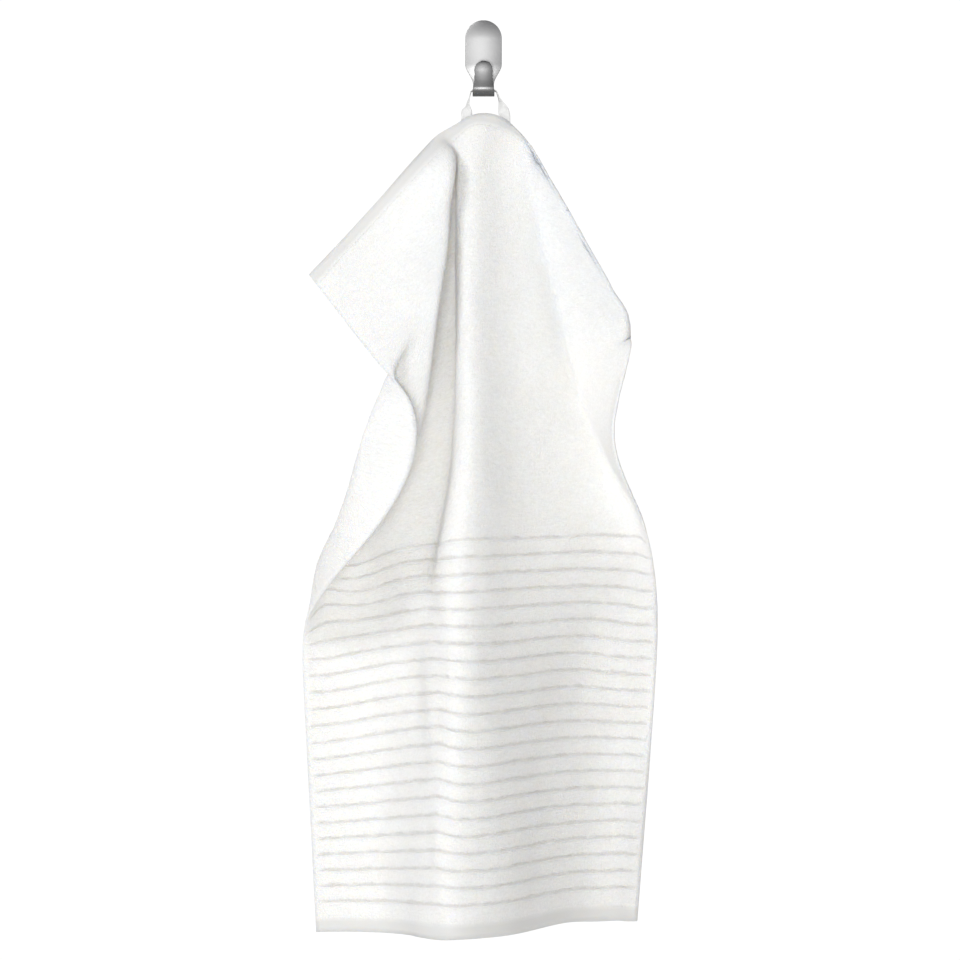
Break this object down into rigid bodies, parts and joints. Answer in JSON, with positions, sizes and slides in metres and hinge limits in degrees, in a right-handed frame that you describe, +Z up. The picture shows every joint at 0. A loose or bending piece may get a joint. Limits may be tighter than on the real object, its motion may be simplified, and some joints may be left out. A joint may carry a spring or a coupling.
{
  "type": "hand towel and wall hook",
  "caption": "White terry hand towel with a ribbed lower half, hung in folds by a sewn tape loop from a small bent steel wall hook.",
  "frame": {"origin": "the back of the wall hook's plate, at the middle of the area that the wall holds", "axes": "+X to the towel's right as seen from the front, +Y into the wall, +Z up"},
  "size_m": [0.3021, 0.1192, 0.7753],
  "materials": {
    "terry": "matte white looped pile, with raised pile ribs between thin flat bands on the lower half",
    "tape": "smooth white woven cotton tape",
    "steel": "satin brushed stainless sheet"
  },
  "bodies": {
    "root": {"towel": "terry", "hanging_loop": "tape", "wall_hook": "steel"}
  },
  "joints": []
}
